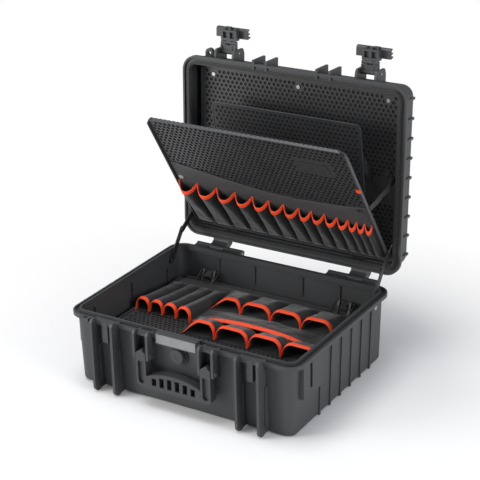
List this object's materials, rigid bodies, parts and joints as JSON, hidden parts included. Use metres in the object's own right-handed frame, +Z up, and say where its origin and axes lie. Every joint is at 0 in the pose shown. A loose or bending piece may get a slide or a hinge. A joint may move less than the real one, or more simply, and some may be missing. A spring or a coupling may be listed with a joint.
{
  "type": "hard tool case",
  "caption": "Hard polymer tool case with a hinged lid, two flip latches, a fold-down handle, a tilting pocket board in the lid and a lift-out pocket tray in the base.",
  "frame": {"origin": "centre of the base underside, between the side walls and between the front and back rims", "axes": "+X to the right seen from the front, +Y from the handle side to the hinge side, +Z up"},
  "size_m": [0.514, 0.5199, 0.6141],
  "materials": {
    "shell": "satin moulded polymer, fine grain",
    "dark_plastic": "satin moulded polymer",
    "sheet": "perforated polymer sheet",
    "bare_metal": "bright steel",
    "plate": "bare brushed plate",
    "dark_steel": "black painted steel",
    "seal": "soft black rubber",
    "cloth": "black woven fabric",
    "webbing": "black webbing",
    "hem": "orange tape binding"
  },
  "bodies": {
    "base": {"base_shell": "shell", "hinge_pins": "bare_metal", "name_plate": "plate", "valve_body": "dark_plastic", "valve_cap": "dark_plastic", "handle_pins": "bare_metal", "stay_base_rivets": "bare_metal"},
    "lid": {"lid_shell": "shell", "lid_seal": "seal", "back_panel": "sheet", "panel_screws": "bare_metal", "latch_pins": "bare_metal", "stay_lid_pins": "bare_metal", "board_brackets": "dark_plastic", "board_hinge_pins": "bare_metal", "doc_brackets": "dark_plastic", "doc_hinge_pins": "bare_metal", "limit_strap_l": "webbing", "limit_strap_r": "webbing", "doc_strap_l": "webbing", "doc_strap_r": "webbing"},
    "handle": {"handle": "dark_plastic"},
    "latch_l": {"latch_link_l": "dark_plastic", "lever_pin_l": "bare_metal"},
    "latch_r": {"latch_link_r": "dark_plastic", "lever_pin_r": "bare_metal"},
    "lever_l": {"latch_lever_l": "dark_plastic"},
    "lever_r": {"latch_lever_r": "dark_plastic"},
    "stay_lower_l": {"stay_lower_l": "dark_steel"},
    "stay_lower_r": {"stay_lower_r": "dark_steel"},
    "stay_upper_l": {"stay_upper_l": "dark_steel"},
    "stay_upper_r": {"stay_upper_r": "dark_steel"},
    "tool_board": {"tool_board": "sheet", "board_pockets": "cloth", "board_hem": "hem", "board_snaps": "bare_metal", "board_label": "dark_plastic", "board_tab": "hem"},
    "doc_board": {"doc_board": "sheet"},
    "tray": {"tray": "sheet", "tray_pockets_front": "cloth", "tray_pocket_flat": "cloth", "tray_pockets_side": "cloth", "tray_pockets_rear": "cloth", "tray_hems": "hem", "clip_brackets": "dark_plastic"},
    "clip_l": {"tray_clip_l": "dark_steel"},
    "clip_r": {"tray_clip_r": "dark_steel"}
  },
  "joints": [
    {"name": "lid_hinge", "type": "hinge", "parent": "base", "child": "lid", "pos_m": [0, 0.2147, 0.145], "axis": [-1, 0, 0], "range_deg": [-92.5, 0]},
    {"name": "handle_fold", "type": "hinge", "parent": "base", "child": "handle", "pos_m": [0, -0.206, 0.1045], "axis": [-1, 0, 0], "range_deg": [0, 90]},
    {"name": "latch_l_turn", "type": "hinge", "parent": "lid", "child": "latch_l", "pos_m": [-0.1619, 0.27603, 0.56392], "axis": [-1, 0, 0], "range_deg": [-90, 0]},
    {"name": "lever_l_pull", "type": "hinge", "parent": "latch_l", "child": "lever_l", "pos_m": [-0.1619, 0.2769, 0.5839], "axis": [-1, 0, 0], "range_deg": [0, 40]},
    {"name": "stay_lower_l_turn", "type": "hinge", "parent": "base", "child": "stay_lower_l", "pos_m": [-0.237, 0.143, 0.13], "axis": [-1, 0, 0], "range_deg": [-107.9, 0]},
    {"name": "stay_upper_l_turn", "type": "hinge", "parent": "lid", "child": "stay_upper_l", "pos_m": [-0.235, 0.24102, 0.22062], "axis": [1, 0, 0], "range_deg": [-112.3, 0]},
    {"name": "clip_l_turn", "type": "hinge", "parent": "tray", "child": "clip_l", "pos_m": [-0.162, 0.1765, 0.1074], "axis": [-1, 0, 0], "range_deg": [0, 105]},
    {"name": "latch_r_turn", "type": "hinge", "parent": "lid", "child": "latch_r", "pos_m": [0.1619, 0.27603, 0.56392], "axis": [-1, 0, 0], "range_deg": [-90, 0]},
    {"name": "lever_r_pull", "type": "hinge", "parent": "latch_r", "child": "lever_r", "pos_m": [0.1619, 0.2769, 0.5839], "axis": [-1, 0, 0], "range_deg": [0, 40]},
    {"name": "stay_lower_r_turn", "type": "hinge", "parent": "base", "child": "stay_lower_r", "pos_m": [0.237, 0.143, 0.13], "axis": [-1, 0, 0], "range_deg": [-107.9, 0]},
    {"name": "stay_upper_r_turn", "type": "hinge", "parent": "lid", "child": "stay_upper_r", "pos_m": [0.235, 0.24102, 0.22062], "axis": [1, 0, 0], "range_deg": [-112.3, 0]},
    {"name": "clip_r_turn", "type": "hinge", "parent": "tray", "child": "clip_r", "pos_m": [0.162, 0.1765, 0.1074], "axis": [-1, 0, 0], "range_deg": [0, 105]},
    {"name": "tool_board_tilt", "type": "hinge", "parent": "lid", "child": "tool_board", "pos_m": [0, 0.24582, 0.18478], "axis": [1, 0, 0], "range_deg": [-35.6, 0], "deforming": ["limit_strap_l", "limit_strap_r"]},
    {"name": "doc_board_tilt", "type": "hinge", "parent": "lid", "child": "doc_board", "pos_m": [0, 0.25616, 0.20044], "axis": [1, 0, 0], "range_deg": [-10.4, 0], "deforming": ["doc_strap_l", "doc_strap_r"]},
    {"name": "tray_lift", "type": "slide", "parent": "base", "child": "tray", "axis": [0, 0, 1], "range_m": [0, 0.06]}
  ],
  "couplings": [
    {"joint": "tool_board_tilt", "follows": "lid_hinge", "ratio": 0.38486},
    {"joint": "doc_board_tilt", "follows": "lid_hinge", "ratio": 0.11243},
    {"joint": "stay_lower_l_turn", "follows": "lid_hinge", "ratio": 1.1614},
    {"joint": "stay_upper_l_turn", "follows": "lid_hinge", "ratio": 1.2083},
    {"joint": "stay_lower_r_turn", "follows": "lid_hinge", "ratio": 1.1614},
    {"joint": "stay_upper_r_turn", "follows": "lid_hinge", "ratio": 1.2083}
  ]
}
